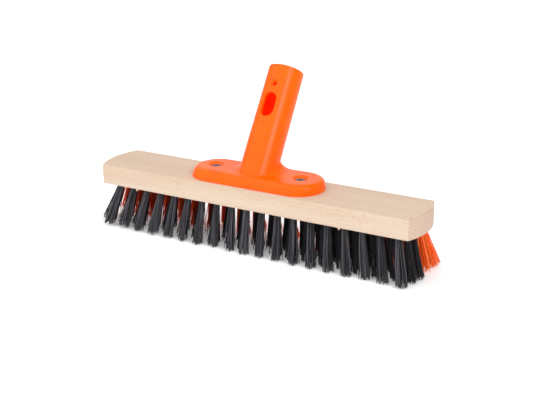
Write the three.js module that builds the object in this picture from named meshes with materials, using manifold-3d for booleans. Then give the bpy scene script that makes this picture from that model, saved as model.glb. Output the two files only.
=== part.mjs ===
// Push broom head: a beech block, five rows of bristle tufts set in its underside, and a
// plastic handle socket held on its top by two screws.
// Millimetres, +Z up. +X runs along the block, -Y is the front, and the socket leans to +Y.
// The origin is on the floor under the middle of the block, where the bristle tips stand.

import * as THREE from 'three';
import { mergeVertices } from 'three/addons/utils/BufferGeometryUtils.js';
import Module from 'manifold-3d';

const wasm = await Module();
wasm.setup();

// ---- Driving dimensions ----------------------------------------------------------------

const FIT_GAP = 0.3; // clearance around a piece that stands in another
const OVERSHOOT = 2; // how far a cutting tool runs past the face it opens

const BLOCK_LENGTH = 350; // over the crowns of the bowed ends
const BLOCK_WIDTH = 60;
const BLOCK_THICKNESS = 20;
const END_BOW = 7; // how far each end's crown stands out from its corners
const BLOCK_EDGE = 1; // softened edge of the block

const BRISTLE_LENGTH = 46; // from the block's underside to the floor
const TUFT_ROOT_RADIUS = 3.4;
const TUFT_TIP_RADIUS = 5.2; // the filaments spread towards the floor
const TUFT_DEPTH = 9; // of the blind hole that holds a tuft
const TUFT_SIDES = 8;
const ROW_PITCH = 10.65; // from row to row across the block
const LINK_WIDTH = 1.6; // strip that joins the tufts of an inner row
const LINK_HEIGHT = 1.2;
const END_SPLAY = 11; // sideways spread of the outermost tips
const SPLAY_REACH = 153.5; // distance from the middle at which the splay is measured

const SOCKET_X = -1.7; // the socket is screwed on a little off the block's middle
const SOCKET_Y = -0.5;
const FLANGE_LENGTH = 141;
const FLANGE_WIDTH = 52;
const FLANGE_HEIGHT = 10.5;
const FLANGE_DRAFT = 1.2; // how far the side leans in before its top edge is rounded
const FLANGE_ROUND = 3.2;

const TUBE_TILT = THREE.MathUtils.degToRad(32.5);
const TUBE_FOOT_Y = -4.6; // where the tube's axis meets the top of the block
const TUBE_LENGTH = 116.2; // along the axis, from the top of the block to the mouth
const TUBE_BASE_RADIUS = 18.3;
const TUBE_MOUTH_RADIUS = 17.4;
const RIM_ROUND = 1;
const BORE_RADIUS = 14; // takes a 28 mm handle
const BORE_END = 13; // along the axis, where the blind bore stops
const FOOT_FILLET = 8; // blend from the tube into the flange
const FOOT_FILLET_HEIGHT = 11;
const SLOT_WIDTH = 13;
const SLOT_LENGTH = 24.5;
const SLOT_FROM_MOUTH = 41.5; // to the middle of the slot
const PIN_HOLE_RADIUS = 2;
const PIN_DIMPLE_RADIUS = 4.2;
const PIN_DIMPLE_DEPTH = 1.4;
const PIN_HOLE_FROM_MOUTH = 19.9;

const SCREW_OFFSET = 47; // from the middle of the flange to each screw
const SCREW_SEAT = 5.5; // height of the seat above the block
const SCREW_TOP = 8.9; // height of the top of the head above the block
const SCREW_HEAD_RADIUS = 5.25;
const SCREW_SHANK_RADIUS = 2.2;
const SCREW_BITE = 9; // length of the shank inside the block
const SCREW_POINT = 3;
const CROSS_LENGTH = 5.2;
const CROSS_WIDTH = 1.2;
const CROSS_DEPTH = 1.4;
const SCREW_DISH_RADIUS = 7.2; // of the dished recess, at the flange's top

const ROUND_SIDES = 32; // of the tube and the flange's ends
const SMALL_SIDES = 16; // of the screws and their recesses

const BLOCK_TOP = BRISTLE_LENGTH + BLOCK_THICKNESS;
const SCREW_PLACES = [SOCKET_X - SCREW_OFFSET, SOCKET_X + SCREW_OFFSET]; // along the block

// ---- Materials ---------------------------------------------------------------------------

const BEECH = { color: '#ecd6bf', roughness: 0.75, metalness: 0 };
const ORANGE_PLASTIC = { color: '#f2601a', roughness: 0.4, metalness: 0 };
const BLACK_BRISTLE = { color: '#1d1f21', roughness: 0.5, metalness: 0 };
const ORANGE_BRISTLE = { color: '#ef5d1c', roughness: 0.5, metalness: 0 };
const DARK_STEEL = { color: '#5b5750', roughness: 0.45, metalness: 1 };

// The rows from the front to the back. left and right are the places of a row's outermost
// tufts, and follow the bow of the ends. The tufts between them are evenly spaced, but the
// middle of the row sits crowd to the left. lean is how far the tips stand from under their
// roots, to the back where it is positive. setLeft is the extra spread of the left tips, and
// by so much less the right ones spread.
const ROWS = [
  { count: 19, left: -150.2, right: 155.5, crowd: 4, lean: -6, setLeft: 4, bristle: BLACK_BRISTLE },
  { count: 20, left: -158.5, right: 159, crowd: 0, lean: -4.5, setLeft: 4, bristle: BLACK_BRISTLE },
  { count: 21, left: -163, right: 160.3, crowd: 0, lean: -1.5, setLeft: 4, bristle: BLACK_BRISTLE },
  { count: 20, left: -163, right: 161, crowd: 0, lean: 6, setLeft: 4.5, bristle: ORANGE_BRISTLE },
  { count: 19, left: -160, right: 160, crowd: 0, lean: 11, setLeft: 2.5, bristle: ORANGE_BRISTLE },
];
const JOINED_ROWS = [1, 2, 3]; // the inner rows, whose tufts are joined between the end ones

// ---- Helpers -----------------------------------------------------------------------------

function toSolid(geometry) {
  const bare = geometry.clone();
  bare.deleteAttribute('normal');
  bare.deleteAttribute('uv');
  const merged = mergeVertices(bare, 1e-4);
  return new wasm.Manifold(new wasm.Mesh({
    numProp: 3,
    vertProperties: new Float32Array(merged.attributes.position.array),
    triVerts: new Uint32Array(merged.index.array),
  }));
}

function toGeometry(solid) {
  const { vertProperties, triVerts } = solid.getMesh();
  const geometry = new THREE.BufferGeometry();
  geometry.setAttribute('position', new THREE.BufferAttribute(vertProperties, 3));
  geometry.setIndex(new THREE.BufferAttribute(triVerts, 1));
  geometry.computeVertexNormals();
  return geometry;
}

function piece(name, geometry, look) {
  const mesh = new THREE.Mesh(geometry, new THREE.MeshStandardMaterial(look));
  mesh.name = name;
  return mesh;
}

// A turned solid about +Z. profile lists [radius, height] from the bottom to the top.
function turned(profile, sides) {
  const points = profile.map(([radius, height]) => new THREE.Vector2(radius, height));
  return new THREE.LatheGeometry(points, sides).rotateX(Math.PI / 2);
}

// A straight-sided shape with round ends, length along X, standing on z = 0.
function roundEnded(length, width, height) {
  const radius = width / 2;
  const half = length / 2 - radius;
  const outline = new THREE.Shape();
  outline.absarc(half, 0, radius, -Math.PI / 2, Math.PI / 2);
  outline.absarc(-half, 0, radius, Math.PI / 2, (3 * Math.PI) / 2);
  const settings = { depth: height, bevelEnabled: false, curveSegments: ROUND_SIDES / 2 };
  return new THREE.ExtrudeGeometry(outline, settings);
}

// ---- Block -------------------------------------------------------------------------------

function blockGeometry() {
  const halfLength = BLOCK_LENGTH / 2;
  const halfWidth = BLOCK_WIDTH / 2;
  const endRadius = (halfWidth ** 2 + END_BOW ** 2) / (2 * END_BOW);
  const endAngle = Math.asin(halfWidth / endRadius);
  const endCentre = halfLength - endRadius;

  const outline = new THREE.Shape();
  outline.absarc(endCentre, 0, endRadius, -endAngle, endAngle);
  outline.absarc(-endCentre, 0, endRadius, Math.PI - endAngle, Math.PI + endAngle);

  return new THREE.ExtrudeGeometry(outline, {
    depth: BLOCK_THICKNESS - 2 * BLOCK_EDGE,
    curveSegments: 8,
    bevelThickness: BLOCK_EDGE,
    bevelSize: BLOCK_EDGE,
    bevelOffset: -BLOCK_EDGE,
    bevelSegments: 2,
  }).translate(0, 0, BRISTLE_LENGTH + BLOCK_EDGE);
}

function pilotHole(x) {
  const depth = SCREW_BITE + FIT_GAP;
  const radius = SCREW_SHANK_RADIUS + FIT_GAP;
  return turned([
    [0, BLOCK_TOP - depth],
    [radius, BLOCK_TOP - depth],
    [radius, BLOCK_TOP + OVERSHOOT],
    [0, BLOCK_TOP + OVERSHOOT],
  ], SMALL_SIDES).translate(x, SOCKET_Y, 0);
}

function buildBlock(tufts) {
  const holes = [
    ...tufts.map(tuftHole),
    ...SCREW_PLACES.map(pilotHole),
  ];
  const solid = toSolid(blockGeometry()).subtract(wasm.Manifold.union(holes.map(toSolid)));
  return piece('wooden_block', toGeometry(solid), BEECH);
}

// ---- Tufts -------------------------------------------------------------------------------

// Where each tuft stands: its root on the block's underside, and how far its tip is shifted.
function tuftPlaces() {
  const middleRow = (ROWS.length - 1) / 2;
  return ROWS.flatMap((row, rowIndex) => Array.from({ length: row.count }, (_, index) => {
    const along = index / (row.count - 1);
    const x = row.left + (row.right - row.left) * along - row.crowd * 4 * along * (1 - along);
    const outward = x / SPLAY_REACH;
    return {
      rowIndex,
      index,
      x,
      y: (rowIndex - middleRow) * ROW_PITCH,
      leanX: END_SPLAY * outward - row.setLeft * outward ** 2,
      leanY: row.lean,
    };
  }));
}

// Slides an upright shape so that it leans, keeps level cross-sections, and has its root at
// the tuft's root.
function lean(geometry, tuft) {
  const slideX = -tuft.leanX / BRISTLE_LENGTH;
  const slideY = -tuft.leanY / BRISTLE_LENGTH;
  return geometry.applyMatrix4(new THREE.Matrix4().set(
    1, 0, slideX, tuft.x + tuft.leanX,
    0, 1, slideY, tuft.y + tuft.leanY,
    0, 0, 1, 0,
    0, 0, 0, 1,
  ));
}

function tuftGeometry(tuft) {
  const top = BRISTLE_LENGTH + TUFT_DEPTH - FIT_GAP;
  return lean(turned([
    [0, 0],
    [TUFT_TIP_RADIUS, 0],
    [TUFT_ROOT_RADIUS, BRISTLE_LENGTH],
    [TUFT_ROOT_RADIUS, top],
    [0, top],
  ], TUFT_SIDES), tuft);
}

function tuftHole(tuft) {
  const radius = TUFT_ROOT_RADIUS + FIT_GAP;
  return lean(turned([
    [0, BRISTLE_LENGTH - OVERSHOOT],
    [radius, BRISTLE_LENGTH - OVERSHOOT],
    [radius, BRISTLE_LENGTH + TUFT_DEPTH],
    [0, BRISTLE_LENGTH + TUFT_DEPTH],
  ], TUFT_SIDES), tuft);
}

// The tufts between the two ends of an inner row, joined under the block by a thin strip.
function joinedTufts(tufts) {
  const first = tufts[0];
  const last = tufts[tufts.length - 1];
  const strip = new THREE.BoxGeometry(last.x - first.x, LINK_WIDTH, LINK_HEIGHT);
  const middle = (first.x + last.x) / 2;
  strip.translate(middle, first.y, BRISTLE_LENGTH - FIT_GAP - LINK_HEIGHT / 2);
  const solids = [strip, ...tufts.map(tuftGeometry)].map(toSolid);
  return toGeometry(wasm.Manifold.union(solids));
}

function buildTufts(tufts) {
  const pieces = [];
  ROWS.forEach((row, rowIndex) => {
    const inRow = tufts.filter((tuft) => tuft.rowIndex === rowIndex);
    const joined = JOINED_ROWS.includes(rowIndex);
    const apart = joined ? [inRow[0], inRow[row.count - 1]] : inRow;
    for (const tuft of apart) {
      const number = String(tuft.index + 1).padStart(2, '0');
      const name = `row_${rowIndex + 1}_tuft_${number}`;
      pieces.push(piece(name, tuftGeometry(tuft), row.bristle));
    }
    if (joined) {
      const inner = inRow.slice(1, -1);
      pieces.push(piece(`row_${rowIndex + 1}_inner_tufts`, joinedTufts(inner), row.bristle));
    }
  });
  return pieces;
}

// ---- Handle socket -----------------------------------------------------------------------

// Half of the flange's cross-section, as [distance from the middle, height] from the bottom.
function flangeProfile() {
  const halfWidth = FLANGE_WIDTH / 2;
  const roundStart = FLANGE_HEIGHT - FLANGE_ROUND;
  const profile = [[halfWidth, 0]];
  const steps = 4;
  for (let step = 0; step <= steps; step += 1) {
    const angle = (step / steps) * (Math.PI / 2);
    const inset = FLANGE_DRAFT + FLANGE_ROUND * (1 - Math.cos(angle));
    profile.push([halfWidth - inset, roundStart + FLANGE_ROUND * Math.sin(angle)]);
  }
  return profile;
}

function flangeSolid() {
  const side = flangeProfile();
  const half = (FLANGE_LENGTH - FLANGE_WIDTH) / 2;
  const end = turned([[0, 0], ...side, [0, FLANGE_HEIGHT]], ROUND_SIDES);

  const mirrored = side.map(([distance, height]) => [-distance, height]).reverse();
  const section = new THREE.Shape([...side, ...mirrored].map(([y, z]) => new THREE.Vector2(y, z)));
  const middle = new THREE.ExtrudeGeometry(section, { depth: 2 * half, bevelEnabled: false });
  middle.rotateX(Math.PI / 2).rotateZ(Math.PI / 2).translate(-half, 0, 0);

  return wasm.Manifold.union([
    toSolid(end.clone().translate(-half, 0, 0)),
    toSolid(end.clone().translate(half, 0, 0)),
    toSolid(middle),
  ]);
}

// Turns a shape drawn about +Z into the tube's place, its height running along the axis.
function alongTube(geometry) {
  return geometry.rotateX(-TUBE_TILT).translate(0, TUBE_FOOT_Y, 0);
}

// The outside of the tube, which starts half way up the flange.
function tubeSolid() {
  const tube = alongTube(turned([
    [0, -TUBE_BASE_RADIUS],
    [TUBE_BASE_RADIUS, -TUBE_BASE_RADIUS],
    [TUBE_BASE_RADIUS, 0],
    [TUBE_MOUTH_RADIUS, TUBE_LENGTH - RIM_ROUND],
    [TUBE_MOUTH_RADIUS - 0.3 * RIM_ROUND, TUBE_LENGTH - 0.3 * RIM_ROUND],
    [TUBE_MOUTH_RADIUS - RIM_ROUND, TUBE_LENGTH],
    [0, TUBE_LENGTH],
  ], ROUND_SIDES));
  const span = 4 * TUBE_BASE_RADIUS;
  const below = new THREE.BoxGeometry(span, span, span);
  below.translate(0, 0, (FLANGE_HEIGHT - span) / 2);
  return toSolid(tube).subtract(toSolid(below));
}

// The blend at the tube's foot: level cross-sections that slide back with the lean, trimmed
// to the flange's outline.
function footSolid() {
  const start = FLANGE_HEIGHT / 2;
  const profile = [[0, start], [TUBE_BASE_RADIUS + FOOT_FILLET, start]];
  const steps = 4;
  for (let step = 0; step <= steps; step += 1) {
    const angle = (step / steps) * (Math.PI / 2);
    const radius = TUBE_BASE_RADIUS + FOOT_FILLET * (1 - Math.sin(angle));
    profile.push([radius, FLANGE_HEIGHT + FOOT_FILLET_HEIGHT * (1 - Math.cos(angle))]);
  }
  profile.push([0, FLANGE_HEIGHT + FOOT_FILLET_HEIGHT]);

  const stretch = 1 / Math.cos(TUBE_TILT);
  const blend = turned(profile, ROUND_SIDES).applyMatrix4(new THREE.Matrix4().set(
    1, 0, 0, 0,
    0, stretch, Math.tan(TUBE_TILT), TUBE_FOOT_Y,
    0, 0, 1, 0,
    0, 0, 0, 1,
  ));
  const inset = 2 * (FLANGE_DRAFT + FLANGE_ROUND);
  const trim = roundEnded(FLANGE_LENGTH - inset, FLANGE_WIDTH - inset, 3 * FLANGE_HEIGHT);
  return toSolid(blend).intersect(toSolid(trim));
}

// The oval slot in the front of the tube, from the outside into the bore.
function slotTool() {
  const slot = roundEnded(SLOT_LENGTH, SLOT_WIDTH, TUBE_BASE_RADIUS + OVERSHOOT);
  slot.rotateZ(Math.PI / 2).rotateX(Math.PI / 2);
  return toSolid(alongTube(slot.translate(0, 0, TUBE_LENGTH - SLOT_FROM_MOUTH)));
}

// The small dimpled hole between the slot and the mouth.
function pinHoleTool() {
  const dimpleStart = TUBE_MOUTH_RADIUS - PIN_DIMPLE_DEPTH;
  const hole = turned([
    [0, 0],
    [PIN_HOLE_RADIUS, 0],
    [PIN_HOLE_RADIUS, dimpleStart],
    [PIN_DIMPLE_RADIUS, TUBE_MOUTH_RADIUS],
    [PIN_DIMPLE_RADIUS, TUBE_MOUTH_RADIUS + OVERSHOOT],
    [0, TUBE_MOUTH_RADIUS + OVERSHOOT],
  ], SMALL_SIDES);
  hole.rotateX(Math.PI / 2).translate(0, 0, TUBE_LENGTH - PIN_HOLE_FROM_MOUTH);
  return toSolid(alongTube(hole));
}

function boreTool() {
  return toSolid(alongTube(turned([
    [0, BORE_END],
    [BORE_RADIUS, BORE_END],
    [BORE_RADIUS, TUBE_LENGTH + OVERSHOOT],
    [0, TUBE_LENGTH + OVERSHOOT],
  ], ROUND_SIDES)));
}

function screwRecessTool(x) {
  const shank = SCREW_SHANK_RADIUS + FIT_GAP;
  const seat = SCREW_HEAD_RADIUS + FIT_GAP;
  return toSolid(turned([
    [0, -OVERSHOOT],
    [shank, -OVERSHOOT],
    [shank, SCREW_SEAT],
    [seat, SCREW_SEAT],
    [seat, SCREW_TOP],
    [SCREW_DISH_RADIUS, FLANGE_HEIGHT],
    [SCREW_DISH_RADIUS, FLANGE_HEIGHT + OVERSHOOT],
    [0, FLANGE_HEIGHT + OVERSHOOT],
  ], SMALL_SIDES).translate(x, 0, 0));
}

function buildSocket() {
  const body = wasm.Manifold.union([flangeSolid(), tubeSolid(), footSolid()]);
  const cuts = wasm.Manifold.union([
    boreTool(),
    slotTool(),
    pinHoleTool(),
    screwRecessTool(-SCREW_OFFSET),
    screwRecessTool(SCREW_OFFSET),
  ]);
  const mesh = piece('handle_socket', toGeometry(body.subtract(cuts)), ORANGE_PLASTIC);
  mesh.position.set(SOCKET_X, SOCKET_Y, BLOCK_TOP);
  return mesh;
}

// ---- Screws ------------------------------------------------------------------------------

function buildScrew(name, x) {
  const underHead = SCREW_SEAT + FIT_GAP;
  const edge = SCREW_TOP - (SCREW_TOP - underHead) / 3;
  const body = toSolid(turned([
    [0, -SCREW_BITE],
    [SCREW_SHANK_RADIUS, -SCREW_BITE + SCREW_POINT],
    [SCREW_SHANK_RADIUS, underHead],
    [SCREW_HEAD_RADIUS, underHead],
    [SCREW_HEAD_RADIUS, edge],
    [SCREW_HEAD_RADIUS * 0.8, SCREW_TOP],
    [0, SCREW_TOP],
  ], SMALL_SIDES));
  const across = new THREE.BoxGeometry(CROSS_LENGTH, CROSS_WIDTH, 2 * CROSS_DEPTH);
  const along = new THREE.BoxGeometry(CROSS_WIDTH, CROSS_LENGTH, 2 * CROSS_DEPTH);
  const cross = toSolid(across).add(toSolid(along)).translate([0, 0, SCREW_TOP]);
  const mesh = piece(name, toGeometry(body.subtract(cross)), DARK_STEEL);
  mesh.position.set(x, SOCKET_Y, BLOCK_TOP);
  return mesh;
}

// ---- Broom head --------------------------------------------------------------------------

const tufts = tuftPlaces();
const broomHead = new THREE.Group();
broomHead.name = 'push_broom_head';
broomHead.add(buildBlock(tufts));
broomHead.add(buildSocket());
broomHead.add(buildScrew('screw_left', SCREW_PLACES[0]));
broomHead.add(buildScrew('screw_right', SCREW_PLACES[1]));
broomHead.add(...buildTufts(tufts));

export default broomHead;
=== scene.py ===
import math

import bmesh
import bpy
import numpy as np
from mathutils import Matrix, Vector


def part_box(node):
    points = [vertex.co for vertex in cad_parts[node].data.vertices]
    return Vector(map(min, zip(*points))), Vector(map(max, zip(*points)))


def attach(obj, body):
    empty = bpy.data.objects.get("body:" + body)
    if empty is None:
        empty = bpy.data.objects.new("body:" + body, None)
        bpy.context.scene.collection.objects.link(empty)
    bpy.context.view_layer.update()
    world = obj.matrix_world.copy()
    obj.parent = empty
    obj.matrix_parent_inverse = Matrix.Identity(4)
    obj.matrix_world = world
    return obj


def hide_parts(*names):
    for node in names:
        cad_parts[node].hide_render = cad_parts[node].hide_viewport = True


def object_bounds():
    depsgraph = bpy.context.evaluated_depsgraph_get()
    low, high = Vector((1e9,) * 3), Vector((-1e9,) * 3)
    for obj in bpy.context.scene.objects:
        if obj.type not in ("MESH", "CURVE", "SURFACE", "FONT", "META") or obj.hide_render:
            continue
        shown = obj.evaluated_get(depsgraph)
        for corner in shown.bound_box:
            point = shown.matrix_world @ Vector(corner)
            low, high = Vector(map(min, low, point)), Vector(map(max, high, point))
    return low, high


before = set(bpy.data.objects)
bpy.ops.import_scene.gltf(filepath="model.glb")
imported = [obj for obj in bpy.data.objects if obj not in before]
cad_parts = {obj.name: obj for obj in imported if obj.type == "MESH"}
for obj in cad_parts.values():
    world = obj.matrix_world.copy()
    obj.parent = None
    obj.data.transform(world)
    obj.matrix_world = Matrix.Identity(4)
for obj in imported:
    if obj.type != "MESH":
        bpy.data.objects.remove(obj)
cad_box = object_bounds()

# A push broom head: a beech block with five rows of bristle tufts and an orange handle socket.
# Metres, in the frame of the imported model: +X along the block, -Y the front, z = 0 the floor.

BODY = "root"
SEED = 7

# ---- Places read from the frame -------------------------------------------------------------

BLOCK_LOW, BLOCK_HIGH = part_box("wooden_block")
BLOCK_HALF_LENGTH = (BLOCK_HIGH.x - BLOCK_LOW.x) / 2
BLOCK_HALF_WIDTH = (BLOCK_HIGH.y - BLOCK_LOW.y) / 2
UNDERSIDE = BLOCK_LOW.z
BLOCK_TOP = BLOCK_HIGH.z
SOCKET_LOW, SOCKET_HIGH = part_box("handle_socket")
SOCKET_HALF_LENGTH = (SOCKET_HIGH.x - SOCKET_LOW.x) / 2
SCREWS = ("screw_left", "screw_right")
TUFT_NODES = [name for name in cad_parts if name.startswith("row_")]

# ---- Sizes of the block ---------------------------------------------------------------------

END_BOW = 0.007  # how far the ends stand out at the middle
BLOCK_EDGE = 0.0009
HOLE_RADIUS = 0.0037
PILOT_RADIUS = 0.0025
PILOT_DEPTH = 0.0093
OVERSHOOT = 0.002  # of a drill past the face it enters

# y of the fibres torn up on the right end's top edge, and x of the chips under the front edge.
TORN_PLACES = (-0.029, -0.026, -0.0185, -0.0145, -0.011, -0.0065, -0.002, 0.003, 0.008)
CHIP_PLACES = (-0.141, -0.1265, 0.1003)

# ---- Sizes of the handle socket -------------------------------------------------------------

FLANGE_WIDTH = 0.052
FLANGE_HEIGHT = 0.0105
FLANGE_LEAN = 0.0018  # how far the flange's wall leans in from its foot to its top
FLANGE_SKEW = 0.8  # share by which it leans more at the left end, and less at the right
FLANGE_ROUND = 0.0052
SOCKET_X = (SOCKET_LOW.x + SOCKET_HIGH.x) / 2
SOCKET_Y = SOCKET_LOW.y + FLANGE_WIDTH / 2
TUBE_TILT = math.radians(32.5)  # from upright, to the back
TUBE_FOOT_Y = -0.0046
TUBE_LENGTH = 0.1162
TUBE_BASE_RADIUS = 0.0183
TUBE_MOUTH_RADIUS = 0.0174
RIM_ROUND = 0.001
BORE_RADIUS = 0.014
BORE_END = 0.013  # along the tube's axis, above its foot
FOOT_RADIUS = 0.0181  # of the round foot that the flange rises to behind the tube
FOOT_Y = 0.0079
FOOT_FILLET = 0.0105
FOOT_CREASE = 0.0004
SLOT_WIDTH = 0.013
SLOT_LENGTH = 0.0245
SLOT_FROM_MOUTH = 0.0415
PIN_HOLE_RADIUS = 0.002
PIN_HOLE_FROM_MOUTH = 0.0199
PIN_DIMPLE_RADIUS = 0.0041
PIN_DIMPLE_FLOOR = 0.0027
PIN_DIMPLE_DEPTH = 0.0018
EDGE_ROUND = 0.0005
SEAT_HEIGHT = 0.0055  # of the flat seat that a screw's head stands on
SEAT_RADIUS = 0.00555
SHANK_HOLE_RADIUS = 0.0025
DISH_RADIUS = 0.0072
DISH_FLOOR = 0.0083
DISH_ROUND = 0.0018
SOCKET_STEP = 0.0007  # mesh size

# ---- Sizes of the screws and staples --------------------------------------------------------

SCREW_HEAD = 0.00525
SCREW_EDGE = 0.0006
SCREW_SHANK = 0.0019
SCREW_HIGHEST = 0.0089  # above the block
SCREW_BITE = 0.009  # length in the wood, with the point
SCREW_POINT = 0.003
SCREW_GAP = 0.0002  # between a head and its seat
SCREW_SIDES = 32
THREAD_PITCH = 0.0016
THREAD_RISE = 0.0004
CROSS_LENGTH = 0.0052
CROSS_WIDTH = 0.0012
CROSS_DEPTH = 0.0016
STAPLE_WIDTH = 0.0068
STAPLE_HEIGHT = 0.0016
STAPLE_THICKNESS = 0.0004
STAPLE_BEND = 0.0008

# ---- Sizes of the tufts ---------------------------------------------------------------------

# Filaments in a tuft, radius of the bundle at its root, and looseness of the tips, by row.
TUFT_KINDS = {
    "1": (56, 0.0029, 1.2),
    "2": (54, 0.0026, 1.5),
    "3": (54, 0.0026, 1.5),
    "4": (66, 0.0025, 1.6),
    "5": (66, 0.0025, 1.6),
}
OUTER_TUFT = "row_4_tuft_20"  # of an inner row, but without the inner rows' painted shade, like the outer ones
FILAMENT_RADIUS = 0.00036
FILAMENT_SIDES = 5
FILAMENT_LEVELS = (1.0, 0.84, 0.64, 0.44, 0.22, 0.0)  # from the block's underside to the floor
GOLDEN_ANGLE = math.pi * (3 - math.sqrt(5))
LOCKS = 5  # groups of filaments that hang together in a tuft
STRAY_SHARE = 0.15  # of the filaments, that leave their lock
TIP_REACH = 0.0045  # of a filament's tip from the middle of the tuft

# Standard deviations of places and lengths that vary.
ROOT_SCATTER = 0.00012
LOCK_SCATTER = 0.0013
TIP_SCATTER = 0.0005
STRAY_SCATTER = 0.0024
TUFT_SCATTER = 0.0008
BOW_SCATTER = 0.0004
CUT_SCATTER = 0.0016

# ---- Camera, with its angles in degrees -----------------------------------------------------

CAMERA_AZIMUTH = 30.06
CAMERA_ELEVATION = 19.14
CAMERA_ROLL = -0.28
CAMERA_DISTANCE = 1.006
CAMERA_TARGET = Vector((0.0146, 0, 0.0494))
CAMERA_LENS = 68.9


# ---- Helpers --------------------------------------------------------------------------------


def link(name, data):
    """A new object in the scene that holds data."""
    made = bpy.data.objects.new(name, data)
    bpy.context.scene.collection.objects.link(made)
    return made


def add_object(name, vertices, faces, smooth=True):
    """A new mesh object, with smooth or flat shading."""
    mesh = bpy.data.meshes.new(name)
    mesh.from_pydata(vertices, [], faces)
    mesh.validate()
    if smooth:
        mesh.shade_smooth()
    else:
        mesh.shade_flat()
    return link(name, mesh)


def place(piece, material, slot, *nodes):
    """Gives a piece its material and body, and hides the CAD nodes that it stands for."""
    piece.data.materials.clear()
    piece.data.materials.append(material)
    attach(piece, BODY)
    if nodes:
        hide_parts(*nodes)


def apply_modifiers(piece):
    """Turns a piece's modifiers into plain geometry."""
    depsgraph = bpy.context.evaluated_depsgraph_get()
    mesh = bpy.data.meshes.new_from_object(piece.evaluated_get(depsgraph))
    piece.modifiers.clear()
    old = piece.data
    piece.data = mesh
    bpy.data.meshes.remove(old)


def cut_out(piece, tool, use_self=False):
    """Cuts a tool's shape out of a piece, and deletes the tool."""
    cut = piece.modifiers.new("cut", "BOOLEAN")
    cut.operation = "DIFFERENCE"
    cut.solver = "EXACT"
    cut.use_self = use_self
    cut.object = tool
    apply_modifiers(piece)
    bpy.data.objects.remove(tool)


def screw_centre(name):
    """x and y of a screw's axis."""
    low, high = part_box(name)
    return (low.x + high.x) / 2, (low.y + high.y) / 2


def towards(azimuth, elevation):
    """The direction at these angles in degrees. Azimuth 0 is the front, and turns towards +X."""
    turn, rise = math.radians(azimuth), math.radians(elevation)
    return Vector((
        math.sin(turn) * math.cos(rise), -math.cos(turn) * math.cos(rise), math.sin(rise),
    ))


def new_material(name):
    """A material, its node tree and its shader."""
    made = bpy.data.materials.new(name)
    made.use_nodes = True
    return made, made.node_tree, made.node_tree.nodes["Principled BSDF"]


def node(tree, kind, inputs=None, **settings):
    """A shader node. inputs maps its sockets to numbers or to other nodes' outputs."""
    made = tree.nodes.new(kind)
    for name, value in settings.items():
        setattr(made, name, value)
    for name, value in (inputs or {}).items():
        if isinstance(value, bpy.types.NodeSocket):
            tree.links.new(value, made.inputs[name])
        else:
            made.inputs[name].default_value = value
    return made


def linear(red, green, blue):
    """A shader colour from 0 to 255 screen values."""
    channels = [
        c / 12.92 if c <= 0.04045 else ((c + 0.055) / 1.055) ** 2.4
        for c in (red / 255, green / 255, blue / 255)
    ]
    return (*channels, 1.0)


def stretched(tree, scale):
    """Object coordinates, scaled differently along x, y and z."""
    places = node(tree, "ShaderNodeTexCoord").outputs["Object"]
    return node(tree, "ShaderNodeMapping", {"Vector": places, "Scale": scale}).outputs[0]


def noise(tree, scale, detail, **inputs):
    """Noise with so many waves to the metre along x, y and z."""
    return node(tree, "ShaderNodeTexNoise", {
        "Vector": stretched(tree, scale), "Scale": 1.0, "Detail": detail, **inputs,
    }).outputs["Fac"]


def math_node(tree, operation, *values):
    """The result of an operation on numbers or other nodes' outputs."""
    inputs = dict(enumerate(values))
    return node(tree, "ShaderNodeMath", inputs, operation=operation).outputs[0]


def ramp(tree, factor, stops):
    """A colour ramp through stops of (position, colour)."""
    made = node(tree, "ShaderNodeValToRGB", {"Fac": factor})
    points = made.color_ramp.elements
    while len(points) < len(stops):
        points.new(0.5)
    for point, (position, colour) in zip(points, stops):
        point.position = position
        point.color = colour
    return made.outputs["Color"]


def grey(value):
    """A shader colour without hue."""
    return (value, value, value, 1.0)


def mixed(tree, factor, first, second):
    """The first colour, turning into the second as the factor rises."""
    made = node(tree, "ShaderNodeMix", data_type="RGBA", blend_type="MIX")
    for index, value in ((0, factor), (6, first), (7, second)):
        socket = made.inputs[index]
        if isinstance(value, bpy.types.NodeSocket):
            tree.links.new(value, socket)
        else:
            socket.default_value = value
    return made.outputs[2]


def between(tree, factor, low, high):
    """A grey ramp from one (position, value) to another."""
    return ramp(tree, factor, [(low[0], grey(low[1])), (high[0], grey(high[1]))])


def dress(tree, shader, colour, roughness, height, strength, distance):
    """Joins a shader to its colour, roughness and relief."""
    relief = node(tree, "ShaderNodeBump", {
        "Height": height, "Strength": strength, "Distance": distance,
    })
    tree.links.new(colour, shader.inputs["Base Color"])
    tree.links.new(roughness, shader.inputs["Roughness"])
    tree.links.new(relief.outputs["Normal"], shader.inputs["Normal"])


# ---- Materials ------------------------------------------------------------------------------


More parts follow.
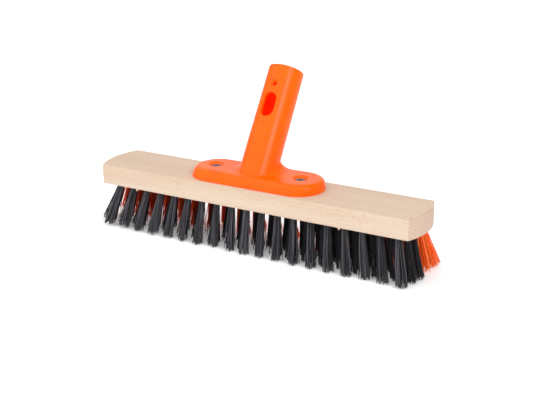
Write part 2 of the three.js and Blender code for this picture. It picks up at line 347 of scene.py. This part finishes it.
def beech_material():
    """Unvarnished beech: rings round a pith below the front, fine grain and short flecks, and
    painted shade on the top faces.
    """
    made, tree, shader = new_material("beech")
    shader.inputs["Specular IOR Level"].default_value = 0.2

    # Annual rings, seen as arcs on the ends and as long bands on the sides.
    places = node(tree, "ShaderNodeTexCoord").outputs["Object"]
    log = node(tree, "ShaderNodeMapping", {
        "Vector": places, "Location": (0, 0.048, -0.022), "Scale": (0.02, 1, 1),
    }).outputs[0]
    radius = node(tree, "ShaderNodeVectorMath", {0: log}, operation="LENGTH").outputs["Value"]
    wander = noise(tree, (4, 26, 26), 2.0)
    radius = math_node(tree, "MULTIPLY_ADD", wander, 0.012, radius)
    ring = math_node(tree, "FRACT", math_node(tree, "MULTIPLY", radius, 300.0))
    late_wood = ramp(tree, ring, [
        (0.0, grey(0.12)), (0.62, grey(0.0)), (0.9, grey(1.0)), (1.0, grey(0.12)),
    ])

    # Pores, fibres and bands drawn out along the block.
    fibre = noise(tree, (45, 1400, 1400), 4.0, Roughness=0.6)
    tint = noise(tree, (4, 40, 40), 3.0)
    band = noise(tree, (2.2, 34, 34), 1.0)
    fleck = between(tree, noise(tree, (240, 1150, 1150), 0.5), (0.69, 0.0), (0.76, 1.0))

    # The ends show cut fibres, which are darker and pinker.
    normal = node(tree, "ShaderNodeTexCoord").outputs["Normal"]
    facing = node(tree, "ShaderNodeSeparateXYZ", {"Vector": normal})
    endwise = math_node(tree, "ABSOLUTE", facing.outputs["X"])
    endwise = between(tree, endwise, (0.55, 0.0), (0.8, 1.0))
    # Painted shade: faces that look up get a darker tone.
    painted_top_shade = between(tree, facing.outputs["Z"], (0.6, 0.0), (0.9, 1.0))
    ring_share = between(tree, endwise, (0.0, 0.2), (1.0, 0.6))

    colour = ramp(tree, tint, [
        (0.3, linear(208, 184, 160)), (0.5, linear(216, 196, 175)), (0.72, linear(222, 205, 186)),
    ])
    for share, shade in (
        # Painted shade on the top faces.
        (between(tree, painted_top_shade, (0.0, 0.0), (1.0, 0.45)), linear(204, 181, 161)),
        (between(tree, band, (0.5, 0.0), (0.66, 0.4)), linear(205, 172, 146)),
        (between(tree, endwise, (0.0, 0.0), (1.0, 0.8)), linear(203, 178, 161)),
        (between(tree, fibre, (0.35, 0.3), (0.6, 0.0)), linear(200, 168, 138)),
        (math_node(tree, "MULTIPLY", late_wood, ring_share), linear(196, 160, 136)),
        (math_node(tree, "MULTIPLY", fleck, 0.5), linear(186, 138, 100)),
    ):
        colour = mixed(tree, share, colour, shade)
    dress(tree, shader, colour, between(tree, fibre, (0.3, 0.62), (0.7, 0.78)), fibre, 0.35, 0.0003)
    return made


def splinter_material(name, dark, light):
    """Torn beech: rough, and darker than the planed faces."""
    made, tree, shader = new_material(name)
    shader.inputs["Specular IOR Level"].default_value = 0.15
    fibre = noise(tree, (1500, 900, 900), 3.0)
    colour = ramp(tree, fibre, [(0.35, linear(*dark)), (0.65, linear(*light))])
    dress(tree, shader, colour, between(tree, fibre, (0.3, 0.7), (0.7, 0.9)), fibre, 0.5, 0.0003)
    return made


def orange_plastic_material():
    """Satin moulded polypropylene, a little uneven, with light scattered inside it and a faint
    painted red glow.
    """
    made, tree, shader = new_material("orange_plastic")
    shader.inputs["Subsurface Weight"].default_value = 0.25
    shader.inputs["Subsurface Radius"].default_value = (1.0, 0.12, 0.02)
    shader.inputs["Subsurface Scale"].default_value = 0.004
    shader.inputs["Specular IOR Level"].default_value = 0.16
    # Painted glow: a faint red emission keeps the shaded sides and the bore saturated red.
    shader.inputs["Emission Color"].default_value = (1, 0, 0, 1)
    shader.inputs["Emission Strength"].default_value = 0.18
    cloud = noise(tree, (30, 30, 30), 3.0)
    grain = noise(tree, (2200, 2200, 2200), 2.0)
    smear = noise(tree, (90, 90, 90), 4.0)
    colour = ramp(tree, cloud, [(0.3, linear(255, 93, 0)), (0.7, linear(255, 103, 1))])
    dress(tree, shader, colour, between(tree, smear, (0.3, 0.28), (0.7, 0.35)), grain, 0.05, 0.0001)
    return made


def filament_material(name, dark, light, worn):
    """Drawn plastic filament. Each one has its own shade, and its cut tip is a little paler."""
    made, tree, shader = new_material(name)
    shader.inputs["Specular IOR Level"].default_value = 0.3
    shade = node(tree, "ShaderNodeAttribute", attribute_name="shade").outputs["Fac"]
    tip = node(tree, "ShaderNodeAttribute", attribute_name="tip").outputs["Fac"]
    colour = ramp(tree, shade, [(0.0, linear(*dark)), (1.0, linear(*light))])
    colour = mixed(tree, between(tree, tip, (0.9, 0.0), (1.0, 0.15)), colour, linear(*worn))
    streak = noise(tree, (3000, 3000, 120), 2.0)
    dress(tree, shader, colour, between(tree, streak, (0.3, 0.3), (0.7, 0.45)),
          streak, 0.3, 0.00005)
    return made


def steel_material():
    """Dark plated steel with fine turning marks and scuffs."""
    made, tree, shader = new_material("dark_steel")
    shader.inputs["Metallic"].default_value = 1.0
    scuff = noise(tree, (900, 2600, 900), 5.0, Roughness=0.7)
    colour = ramp(tree, scuff, [(0.35, linear(70, 74, 78)), (0.65, linear(118, 122, 126))])
    dress(tree, shader, colour, between(tree, scuff, (0.3, 0.28), (0.7, 0.45)), scuff, 0.2, 0.0001)
    return made


# ---- Tufts ----------------------------------------------------------------------------------


def clusters(points, gap=0.004):
    """Centres of the groups of points that lie apart from each other along x."""
    points = points[np.argsort(points[:, 0])]
    breaks = np.flatnonzero(np.diff(points[:, 0]) > gap) + 1
    return [(g.min(0) + g.max(0)) / 2 for g in np.split(points, breaks)]


def tuft_places(name):
    """(top of the root, middle of the tip) of each tuft in a CAD node."""
    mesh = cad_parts[name].data
    points = np.empty(len(mesh.vertices) * 3)
    mesh.vertices.foreach_get("co", points)
    points = points.reshape(-1, 3)
    level = 0.0001
    tops = clusters(points[points[:, 2] > points[:, 2].max() - level])
    tips = clusters(points[points[:, 2] < points[:, 2].min() + level])
    return list(zip(tops, tips))


def filament_paths(random, top, tip, count, width, loose):
    """Centre lines of one tuft's filaments, as an array of filament, ring and coordinate."""
    turn = np.arange(count) * GOLDEN_ANGLE + random.uniform(0, 6.28)
    reach = width * np.sqrt((np.arange(count) + 0.5) / count)
    root = np.stack([reach * np.cos(turn), reach * np.sin(turn)], 1)
    root += random.normal(0, ROOT_SCATTER, root.shape)

    # Filaments lie in a few locks that stand a little apart, and some stray from them.
    locks = random.normal(0, LOCK_SCATTER * loose, (LOCKS, 2))
    lock_of = (np.arctan2(root[:, 1], root[:, 0]) / (2 * math.pi) * LOCKS).astype(int) % LOCKS
    spread = random.uniform(1.25, 1.6) * loose
    end = root * spread + locks[lock_of] + random.normal(0, TIP_SCATTER, root.shape)
    stray = random.random(count) < STRAY_SHARE * loose
    end[stray] += random.normal(0, STRAY_SCATTER * loose, (int(stray.sum()), 2))
    end += random.normal(0, TUFT_SCATTER, 2)
    reached = np.linalg.norm(end, axis=1, keepdims=True)
    end *= np.minimum(1, TIP_REACH * loose / reached)
    lowest_corner, highest_corner = np.array(cad_box)[:, :2]
    end = np.clip(tip[:2] + end, lowest_corner + FILAMENT_RADIUS,
                  highest_corner - FILAMENT_RADIUS) - tip[:2]

    slope = (tip - top) / top[2]
    under = top + slope * (top[2] - UNDERSIDE)
    paths = np.zeros((count, len(FILAMENT_LEVELS) + 1, 3))
    paths[:, 0, :2] = top[:2] + root
    paths[:, 0, 2] = top[2]
    bow_turn = random.uniform(0, 2 * math.pi, count)
    bow = np.abs(random.normal(0, BOW_SCATTER, count))
    shift = np.linalg.norm(tip[:2] - under[:2] + end - root, axis=1)

    # A filament that leans far ends a little higher, as all are cut to nearly one length.
    lift = 0.6 * (UNDERSIDE - np.sqrt(UNDERSIDE ** 2 - shift ** 2))
    lowest = lift + np.abs(random.normal(0, CUT_SCATTER, count))
    for ring, height in enumerate(FILAMENT_LEVELS, start=1):
        down = 1 - height
        flare = down ** 1.1
        centre = under[:2] + (tip[:2] - under[:2]) * down
        offset = root + (end - root) * flare
        curve = bow * math.sin(math.pi * down)
        paths[:, ring, 0] = centre[0] + offset[:, 0] + curve * np.cos(bow_turn)
        paths[:, ring, 1] = centre[1] + offset[:, 1] + curve * np.sin(bow_turn)
        paths[:, ring, 2] = UNDERSIDE + (lowest - UNDERSIDE) * down
    return paths


def filament_mesh(random, paths):
    """Vertices, faces, shades and tip values of tubes along the paths."""
    count, rings, _ = paths.shape
    angles = np.arange(FILAMENT_SIDES) * 2 * math.pi / FILAMENT_SIDES
    twist = random.uniform(0, 2 * math.pi, (count, 1)) + angles
    ring = np.stack([np.cos(twist), np.sin(twist), np.zeros_like(twist)], 2) * FILAMENT_RADIUS
    vertices = (paths[:, :, None, :] + ring[:, None, :, :]).reshape(-1, 3)

    step = rings * FILAMENT_SIDES
    faces = []
    for filament in range(count):
        base = filament * step
        for level in range(rings - 1):
            low = base + level * FILAMENT_SIDES
            for side in range(FILAMENT_SIDES):
                after = (side + 1) % FILAMENT_SIDES
                faces.append((low + after, low + side,
                              low + side + FILAMENT_SIDES, low + after + FILAMENT_SIDES))
        faces.append(tuple(range(base, base + FILAMENT_SIDES)))
        last = base + step - FILAMENT_SIDES
        faces.append(tuple(range(last + FILAMENT_SIDES - 1, last - 1, -1)))
    shades = np.repeat(random.random(count), step)
    tips = np.tile(np.repeat(np.linspace(0, 1, rings), FILAMENT_SIDES), count)
    return vertices, faces, shades, tips


def build_tufts():
    """The filaments of each tuft node. The rows between the outer ones are darker: painted shade,
    in darker copies of the materials.
    """
    random = np.random.default_rng(SEED)
    black = filament_material("black_filament", (8, 7, 10), (92, 90, 97), (110, 108, 112))
    # Painted shade: the inner rows get darker copies of the black and orange, as they lie in the
    # shade of the outer rows.
    painted_shade_black = filament_material("painted_shade_black_filament", (2, 2, 4), (44, 42, 48), (60, 58, 62))
    painted_shade_orange = filament_material("painted_shade_orange_filament", (216, 40, 3), (244, 84, 14),
                                    (230, 100, 50))
    orange = filament_material("orange_filament", (255, 90, 10), (255, 136, 50),
                               (255, 160, 90))
    row_looks = {
        "1": (black, "black_bristle"),
        "2": (painted_shade_black, "black_bristle"),
        "3": (painted_shade_black, "black_bristle"),
        "4": (painted_shade_orange, "orange_bristle"),
        "5": (orange, "orange_bristle"),
    }
    for name in sorted(TUFT_NODES):
        row = name[len("row_")]
        vertices, faces, shades, tips = [], [], [], []
        start = 0
        for top, tip in tuft_places(name):
            paths = filament_paths(random, top, tip, *TUFT_KINDS[row])
            tuft_vertices, tuft_faces, tuft_shades, tuft_tips = filament_mesh(random, paths)
            vertices.append(tuft_vertices)
            faces.extend(tuple(start + corner for corner in face) for face in tuft_faces)
            shades.append(tuft_shades)
            tips.append(tuft_tips)
            start += len(tuft_vertices)
        piece = add_object("filaments_" + name, np.concatenate(vertices), faces)
        for attribute, values in (("shade", shades), ("tip", tips)):
            layer = piece.data.attributes.new(attribute, "FLOAT", "POINT")
            layer.data.foreach_set("value", np.concatenate(values).astype(np.float32))
        material, slot = row_looks[row]
        place(piece, orange if name == OUTER_TUFT else material, slot, name)


# ---- Block ----------------------------------------------------------------------------------


def block_outline():
    """The block's plan: straight long sides and bowed ends, as points in order."""
    radius = (BLOCK_HALF_WIDTH ** 2 + END_BOW ** 2) / (2 * END_BOW)
    sweep = math.asin(BLOCK_HALF_WIDTH / radius)
    centre = BLOCK_HALF_LENGTH - radius
    steps = 40
    points = []
    for side in (1, -1):
        for step in range(steps + 1):
            angle = sweep * (2 * step / steps - 1)
            points.append((
                side * (centre + radius * math.cos(angle)), side * radius * math.sin(angle),
            ))
    return points


def drills():
    """One mesh of all the tools that drill the tuft holes and the screws' pilot holes."""
    tools = bmesh.new()

    def drill(start, end, radius):
        way = Vector(end) - Vector(start)
        turn = way.to_track_quat("Z", "Y").to_matrix().to_4x4()
        matrix = Matrix.Translation((Vector(start) + Vector(end)) / 2) @ turn
        bmesh.ops.create_cone(tools, cap_ends=True, segments=14, radius1=radius, radius2=radius,
                              depth=way.length, matrix=matrix)

    for name in TUFT_NODES:
        for top, tip in tuft_places(name):
            slope = (tip - top) / top[2]
            mouth = top + slope * (top[2] - UNDERSIDE + OVERSHOOT)
            drill(mouth, top - slope * 0.0003, HOLE_RADIUS)
    for name in SCREWS:
        x, y = screw_centre(name)
        drill((x, y, BLOCK_TOP - PILOT_DEPTH), (x, y, BLOCK_TOP + OVERSHOOT), PILOT_RADIUS)
    mesh = bpy.data.meshes.new("drills")
    tools.to_mesh(mesh)
    tools.free()
    return link("drills", mesh)


def build_block():
    """The bow-ended block with softened edges, drilled for the tufts and screws."""
    outline = block_outline()
    count = len(outline)
    vertices = [(x, y, z) for z in (UNDERSIDE, BLOCK_TOP) for x, y in outline]
    faces = [(i, (i + 1) % count, (i + 1) % count + count, i + count) for i in range(count)]
    faces.append(tuple(range(count - 1, -1, -1)))
    faces.append(tuple(range(count, 2 * count)))
    block = add_object("beech_block", vertices, faces)
    bevel = block.modifiers.new("bevel", "BEVEL")
    bevel.width = BLOCK_EDGE
    bevel.segments = 3
    bevel.limit_method = "ANGLE"
    bevel.angle_limit = math.radians(40)
    cut_out(block, drills())
    block.data.set_sharp_from_angle(angle=math.radians(35))
    place(block, beech_material(), "beech", "wooden_block")


def sliver(root, along, outward, length, width, thickness):
    """Corners and faces of a closed splinter: a thick middle drawn out to two points."""
    along, outward = Vector(along).normalized(), Vector(outward).normalized()
    across = along.cross(outward).normalized()
    root = Vector(root)
    corners = [root - along * length / 2 - outward * thickness / 2, root + along * length / 2]
    corners += [root + across * width / 2, root + outward * thickness / 2,
                root - across * width / 2, root - outward * thickness / 2]
    faces = []
    for step in range(4):
        here, after = 2 + step, 2 + (step + 1) % 4
        faces += [(0, after, here), (1, here, after)]
    return corners, faces


def build_splinters():
    """Fibres torn up along the top of the right end, and chips under the front edge."""
    random = np.random.default_rng(SEED + 2)
    torn, chips = [], []
    for y in TORN_PLACES:
        for _ in range(3):
            here = y + random.uniform(-0.0018, 0.0018)
            edge = BLOCK_HALF_LENGTH - END_BOW * (here / BLOCK_HALF_WIDTH) ** 2
            x = edge - random.uniform(0.0008, 0.0014)
            along = (random.uniform(0.2, 1), random.uniform(-1, 1), random.uniform(0.0, 0.2))
            length, width = random.uniform(0.0018, 0.0032), random.uniform(0.0006, 0.0011)
            torn.append(sliver((x, here, BLOCK_TOP), along, (0, 0, 1), length, width, 0.0006))
    for x in CHIP_PLACES:
        for _ in range(2):
            root = (x + random.uniform(-0.0006, 0.0006), BLOCK_LOW.y + 0.0012, UNDERSIDE - 0.0005)
            along = (random.uniform(-0.6, 0.6), random.uniform(-0.2, 0.2), -1)
            length, width = random.uniform(0.003, 0.0044), random.uniform(0.002, 0.003)
            chips.append(sliver(root, along, (0, -1, 0), length, width, 0.0008))
    for name, made, shades in (("torn_fibres", torn, ((176, 122, 84), (224, 176, 132))),
                               ("wood_chips", chips, ((206, 168, 124), (240, 210, 170)))):
        vertices, faces = [], []
        for corners, sides in made:
            faces.extend(tuple(len(vertices) + corner for corner in side) for side in sides)
            vertices.extend(corners)
        piece = add_object(name, vertices, faces, smooth=False)
        place(piece, splinter_material(name, *shades), "beech", "wooden_block")


# ---- Handle socket --------------------------------------------------------------------------
# The moulding is one rounded solid, so it is described by its distance field: below zero
# inside, above zero outside, in metres.


def joined(first, second, radius):
    """Union of two fields, with a fillet."""
    reach = np.hypot(np.maximum(radius - first, 0), np.maximum(radius - second, 0))
    return np.maximum(np.minimum(first, second), radius) - reach


def common(first, second, radius):
    """Intersection of two fields, with a rounded edge."""
    return -joined(-first, -second, radius)


def cut_from(body, tool, radius):
    """What is left of a field's solid outside a tool, with a rounded edge."""
    return common(body, -tool, radius)


def round_ended(along, across, half_length, radius):
    """Distance from a slot shape with round ends, in its plane."""
    past = np.maximum(np.abs(along) - (half_length - radius), 0)
    return np.hypot(past, across) - radius


def socket_field(points):
    """The socket's distance field: flange, foot and tube, less their holes and recesses."""
    x = points[..., 0] - SOCKET_X
    y = points[..., 1] - SOCKET_Y
    up = points[..., 2] - BLOCK_TOP
    sine, cosine = math.sin(TUBE_TILT), math.cos(TUBE_TILT)
    along = (y - TUBE_FOOT_Y) * sine + up * cosine
    front = up * sine - (y - TUBE_FOOT_Y) * cosine
    from_axis = np.hypot(x, front)

    taper = (TUBE_BASE_RADIUS - TUBE_MOUTH_RADIUS) / TUBE_LENGTH
    tube = from_axis - (TUBE_BASE_RADIUS - taper * along)
    side = round_ended(x, y, SOCKET_HALF_LENGTH, FLANGE_WIDTH / 2)
    side = side + FLANGE_LEAN * (1 - FLANGE_SKEW * x / SOCKET_HALF_LENGTH) * up / FLANGE_HEIGHT
    foot = np.hypot(x, y - FOOT_Y) - FOOT_RADIUS
    deck = joined(up - FLANGE_HEIGHT, foot, FOOT_FILLET)
    deck = common(deck, up - FLANGE_HEIGHT - FOOT_FILLET, RIM_ROUND)
    flange = common(side, deck, FLANGE_ROUND)
    body = joined(flange, np.maximum(tube, FLANGE_HEIGHT / 2 - up), FOOT_CREASE)
    body = common(body, along - TUBE_LENGTH, RIM_ROUND)

    bore = np.maximum(from_axis - BORE_RADIUS, BORE_END - along)
    body = cut_from(body, bore, EDGE_ROUND)
    slot_along = along - (TUBE_LENGTH - SLOT_FROM_MOUTH)
    slot = round_ended(slot_along, x, SLOT_LENGTH / 2, SLOT_WIDTH / 2)
    body = cut_from(body, np.maximum(slot, -front), EDGE_ROUND)

    from_pin = np.hypot(x, along - (TUBE_LENGTH - PIN_HOLE_FROM_MOUTH))
    widen = (PIN_DIMPLE_RADIUS - PIN_DIMPLE_FLOOR) / PIN_DIMPLE_DEPTH
    above_floor = front - (TUBE_MOUTH_RADIUS - PIN_DIMPLE_DEPTH)
    cone = (from_pin - PIN_DIMPLE_FLOOR - widen * above_floor) / math.hypot(1, widen)
    dimple = np.maximum.reduce([cone, from_pin - 1.5 * PIN_DIMPLE_RADIUS, -above_floor])
    body = cut_from(body, dimple, EDGE_ROUND / 3)
    body = cut_from(body, np.maximum(from_pin - PIN_HOLE_RADIUS, -front), EDGE_ROUND / 2)

    widen = (DISH_RADIUS - SEAT_RADIUS) / (FLANGE_HEIGHT - DISH_FLOOR)
    wall = SEAT_RADIUS + widen * np.clip(up - DISH_FLOOR, 0, 2 * (FLANGE_HEIGHT - DISH_FLOOR))
    for name in SCREWS:
        from_screw = np.hypot(x + SOCKET_X - screw_centre(name)[0], y)
        seat = np.maximum((from_screw - wall) / math.hypot(1, widen), SEAT_HEIGHT - up)
        body = cut_from(body, seat, DISH_ROUND)
        body = cut_from(body, from_screw - SHANK_HOLE_RADIUS, EDGE_ROUND / 2)
    return np.maximum(body, -up)


def slope_of(field, points):
    """The field's gradient at each point."""
    step = 0.00005
    slopes = np.empty_like(points)
    for axis in range(3):
        shift = np.zeros(3)
        shift[axis] = step
        slopes[:, axis] = (field(points + shift) - field(points - shift)) / (2 * step)
    return slopes


def onto_surface(field, points):
    """Moves points along the gradient to where the field is zero."""
    for _ in range(3):
        slopes = slope_of(field, points)
        length = np.maximum((slopes ** 2).sum(1), 0.2)
        points = points - (field(points) / length)[:, None] * slopes
    return points


def surface_of(field, low, high, step):
    """Points and four-sided faces of the field's zero surface, one point to each grid cell."""
    axes = [np.arange(a - 2 * step, b + 3 * step, step) for a, b in zip(low, high)]
    grid = np.stack(np.meshgrid(*axes, indexing="ij"), -1)
    inside = field(grid) < 0
    corners = sum(
        inside[i:inside.shape[0] - 1 + i, j:inside.shape[1] - 1 + j, k:inside.shape[2] - 1 + k]
        .astype(int) for i in (0, 1) for j in (0, 1) for k in (0, 1)
    )
    crossed = (corners > 0) & (corners < 8)
    number = np.full(crossed.shape, -1)
    number[crossed] = np.arange(crossed.sum())
    points = np.array([a[0] for a in axes]) + (np.argwhere(crossed) + 0.5) * step

    faces = []
    for axis in range(3):
        first = np.moveaxis(inside, axis, 0)[:-1]
        second = np.moveaxis(inside, axis, 0)[1:]
        cells = np.moveaxis(number, axis, 0)
        at = np.argwhere(first != second)
        leaving = first[tuple(at.T)]
        turned = (axis == 1) != leaving
        i, j, k = at.T
        quad = np.stack([cells[i, j, k], cells[i, j - 1, k],
                         cells[i, j - 1, k - 1], cells[i, j, k - 1]], 1)
        faces.append(np.where(turned[:, None], quad, quad[:, ::-1]))
    return points, np.concatenate(faces)


def relaxed(field, points, faces, rounds):
    """Evens out the mesh along the surface."""
    for _ in range(rounds):
        total = np.zeros_like(points)
        count = np.zeros(len(points))
        for corner in range(4):
            for other in (corner - 1, (corner + 1) % 4):
                np.add.at(total, faces[:, corner], points[faces[:, other]])
                np.add.at(count, faces[:, corner], 1)
        points = onto_surface(field, total / count[:, None])
    return points


def build_socket():
    """The moulding's mesh, with the normals of its field."""
    points, faces = surface_of(socket_field, SOCKET_LOW, SOCKET_HIGH, SOCKET_STEP)
    points = relaxed(socket_field, onto_surface(socket_field, points), faces, 2)
    piece = add_object("moulded_socket", points, faces.tolist())
    slopes = slope_of(socket_field, points)
    normals = slopes / np.linalg.norm(slopes, axis=1)[:, None]
    piece.data.normals_split_custom_set_from_vertices(normals.tolist())
    place(piece, orange_plastic_material(), "orange_plastic", "handle_socket")


# ---- Screws ---------------------------------------------------------------------------------


def screw_profile():
    """The screw's outline as (radius, height above the block), from the point to the head."""
    shank = [(SCREW_SHANK, -SCREW_BITE + SCREW_POINT + t) for t in
             np.arange(0, SCREW_BITE - SCREW_POINT + SEAT_HEIGHT, THREAD_PITCH / 8)]
    tip = [(SCREW_SHANK * t, -SCREW_BITE + SCREW_POINT * t) for t in (0.06, 0.3, 0.55, 0.8)]
    under = SEAT_HEIGHT + SCREW_GAP
    edge = SCREW_HIGHEST - SCREW_EDGE
    head = [(SCREW_SHANK, under), (SCREW_HEAD - 0.0003, under), (SCREW_HEAD, under + 0.0003),
            (SCREW_HEAD, edge)]
    for step in range(1, 9):
        angle = step / 8 * math.pi / 2
        head.append((SCREW_HEAD - SCREW_EDGE * (1 - math.cos(angle)),
                     edge + SCREW_EDGE * math.sin(angle)))
    head += [(SCREW_HEAD * t, SCREW_HIGHEST) for t in (0.7, 0.4, 0.02)]
    return tip + shank + head


def screw_mesh(name, x, y):
    """A pan-headed screw with a rolled thread."""
    profile = np.array(screw_profile())
    turn = np.arange(SCREW_SIDES) * 2 * math.pi / SCREW_SIDES
    threaded = np.abs(profile[:, 0] - SCREW_SHANK) < 1e-9
    phase = profile[:, 1:] / THREAD_PITCH - turn / (2 * math.pi)
    crest = THREAD_RISE * (np.abs((phase % 1) - 0.5) * 2) ** 2 * threaded[:, None]
    reach = profile[:, :1] + crest
    vertices = np.stack([
        x + reach * np.cos(turn), y + reach * np.sin(turn),
        np.broadcast_to(BLOCK_TOP + profile[:, 1:], reach.shape),
    ], 2).reshape(-1, 3)
    faces = []
    for ring in range(len(profile) - 1):
        for side in range(SCREW_SIDES):
            low = ring * SCREW_SIDES + side
            after = ring * SCREW_SIDES + (side + 1) % SCREW_SIDES
            faces.append((low, after, after + SCREW_SIDES, low + SCREW_SIDES))
    faces.append(tuple(range(SCREW_SIDES - 1, -1, -1)))
    last = (len(profile) - 1) * SCREW_SIDES
    faces.append(tuple(range(last, last + SCREW_SIDES)))
    return add_object(name, vertices, faces)


def cross_tool(x, y):
    """Two crossed wedges, wide at the top, that press the cross recess into a screw's head."""
    vertices, faces = [], []
    top = BLOCK_TOP + SCREW_HIGHEST + 0.0006
    floor = BLOCK_TOP + SCREW_HIGHEST - CROSS_DEPTH
    for long_x, long_y in ((CROSS_LENGTH, CROSS_WIDTH), (CROSS_WIDTH * 0.97, CROSS_LENGTH)):
        start = len(vertices)
        for height, shrink in ((floor, 0.45), (top, 1.1)):
            for sign_x, sign_y in ((-1, -1), (1, -1), (1, 1), (-1, 1)):
                vertices.append((
                    x + sign_x * long_x / 2 * shrink, y + sign_y * long_y / 2 * shrink, height,
                ))
        faces.append([start + corner for corner in (3, 2, 1, 0)])
        faces.append([start + corner for corner in (4, 5, 6, 7)])
        for side in range(4):
            after = (side + 1) % 4
            faces.append([start + side, start + after, start + after + 4, start + side + 4])
    return add_object("cross", vertices, faces, smooth=False)


def build_screws(steel):
    """The two screws, with cross recesses pressed into their heads."""
    for name in SCREWS:
        x, y = screw_centre(name)
        screw = screw_mesh("pan_head_" + name, x, y)
        cut_out(screw, cross_tool(x, y), use_self=True)
        screw.data.set_sharp_from_angle(angle=math.radians(38))
        place(screw, steel, "screw_steel", name)


# ---- Staples --------------------------------------------------------------------------------


def build_staples(steel):
    """The flat wire anchor across the top of each tuft, which holds its folded filaments."""
    vertices, faces = [], []
    columns = (-1.0, -0.85, -0.3, 0.3, 0.85, 1.0)
    for name in sorted(TUFT_NODES):
        for top, _ in tuft_places(name):
            start = len(vertices)
            for column in columns:
                drop = STAPLE_BEND * column ** 2
                for side, rise in ((-1, 0), (1, 0), (1, 1), (-1, 1)):
                    vertices.append((
                        top[0] + column * STAPLE_WIDTH / 2,
                        top[1] + side * STAPLE_THICKNESS / 2,
                        top[2] - STAPLE_HEIGHT - drop + rise * STAPLE_HEIGHT,
                    ))
            for column in range(len(columns) - 1):
                base = start + 4 * column
                for side in range(4):
                    after = (side + 1) % 4
                    faces.append((base + side, base + side + 4, base + after + 4, base + after))
            last = start + 4 * (len(columns) - 1)
            faces.append((start, start + 1, start + 2, start + 3))
            faces.append((last + 3, last + 2, last + 1, last))
    staples = add_object("staples", vertices, faces, smooth=False)
    place(staples, steel, "screw_steel")


# ---- Surroundings ---------------------------------------------------------------------------


def build_camera():
    """The camera, turned to the target from the front and a little above."""
    data = bpy.data.cameras.new("camera")
    data.lens = CAMERA_LENS
    data.sensor_width = 36
    camera = link("camera", data)
    back = towards(CAMERA_AZIMUTH, CAMERA_ELEVATION)
    camera.location = CAMERA_TARGET + back * CAMERA_DISTANCE
    aim = (-back).to_track_quat("-Z", "Y").to_matrix()
    roll = Matrix.Rotation(math.radians(CAMERA_ROLL), 3, "Z")
    camera.rotation_euler = (aim @ roll).to_euler()
    bpy.context.scene.camera = camera


def soft_sun(name, azimuth, elevation, power, width):
    """A soft distant light, at these angles and so many degrees wide."""
    data = bpy.data.lights.new(name, "SUN")
    data.energy = power
    data.angle = math.radians(width)
    lamp = link(name, data)
    lamp.rotation_euler = (-towards(azimuth, elevation)).to_track_quat("-Z", "Y").to_euler()


def build_studio():
    """A pale floor, an even white surround and three soft lights."""
    made, tree, shader = new_material("pale_floor")
    mottle = noise(tree, (3, 3, 3), 2.0)
    tree.links.new(between(tree, mottle, (0.3, 0.91), (0.7, 0.93)), shader.inputs["Base Color"])
    shader.inputs["Roughness"].default_value = 0.9
    shader.inputs["Specular IOR Level"].default_value = 0.1
    shader.inputs["Emission Color"].default_value = (1, 1, 1, 1)
    shader.inputs["Emission Strength"].default_value = 0.2
    half = 8
    corners = [(-half, -half, 0), (half, -half, 0), (half, half, 0), (-half, half, 0)]
    floor = add_object("floor", corners, [(0, 1, 2, 3)])
    floor.data.materials.append(made)

    world = bpy.data.worlds.new("studio")
    world.use_nodes = True
    light = world.node_tree.nodes["Background"]
    light.inputs["Color"].default_value = (1, 1, 1, 1)
    light.inputs["Strength"].default_value = 0.3
    bpy.context.scene.world = world
    soft_sun("front_left", azimuth=-30, elevation=50, power=2.15, width=100)
    soft_sun("right", azimuth=68, elevation=32, power=1.5, width=22)
    soft_sun("behind", azimuth=208, elevation=25, power=0.85, width=70)
    bpy.context.scene.view_settings.view_transform = "Standard"


# ---- Broom head -----------------------------------------------------------------------------

build_camera()
build_studio()
build_block()
build_splinters()
build_socket()
steel = steel_material()
build_screws(steel)
build_tufts()
build_staples(steel)

bpy.context.view_layer.update()
